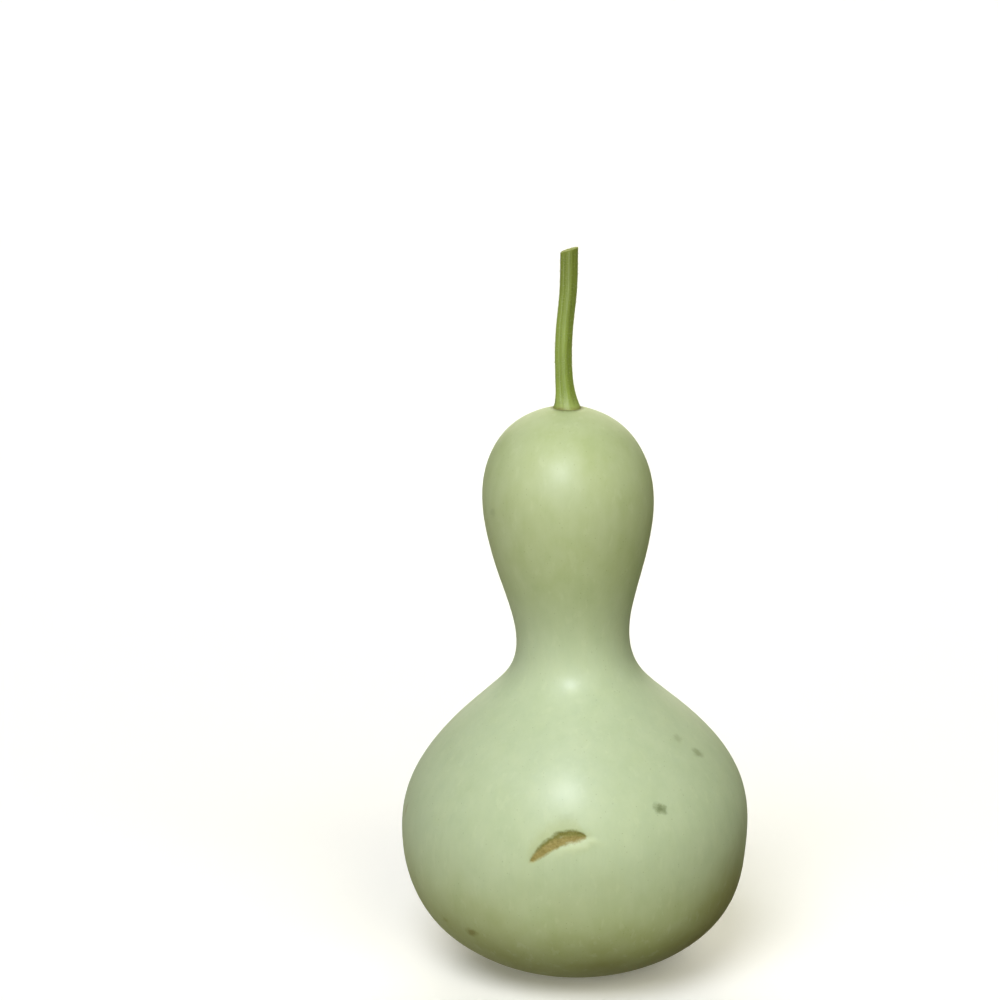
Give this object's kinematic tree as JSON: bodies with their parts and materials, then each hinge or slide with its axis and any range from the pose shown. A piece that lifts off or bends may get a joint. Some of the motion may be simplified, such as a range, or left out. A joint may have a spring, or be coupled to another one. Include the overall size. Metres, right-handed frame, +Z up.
{
  "type": "bottle gourd",
  "caption": "Whole waisted bottle gourd with a round belly, a slim neck, a smaller upper bulb and a short cut stem, standing on its blossom end.",
  "frame": {"origin": "on the surface it stands on, under the middle of the fruit's width and depth", "axes": "+Z up along the gourd, from its blossom end to its cut stem; -Y is the side with the corky scar"},
  "size_m": [0.1518, 0.151, 0.3154],
  "materials": {
    "rind": "satin",
    "stem": "matte"
  },
  "bodies": {
    "root": {"fruit": "rind", "stem": "stem"}
  },
  "joints": []
}
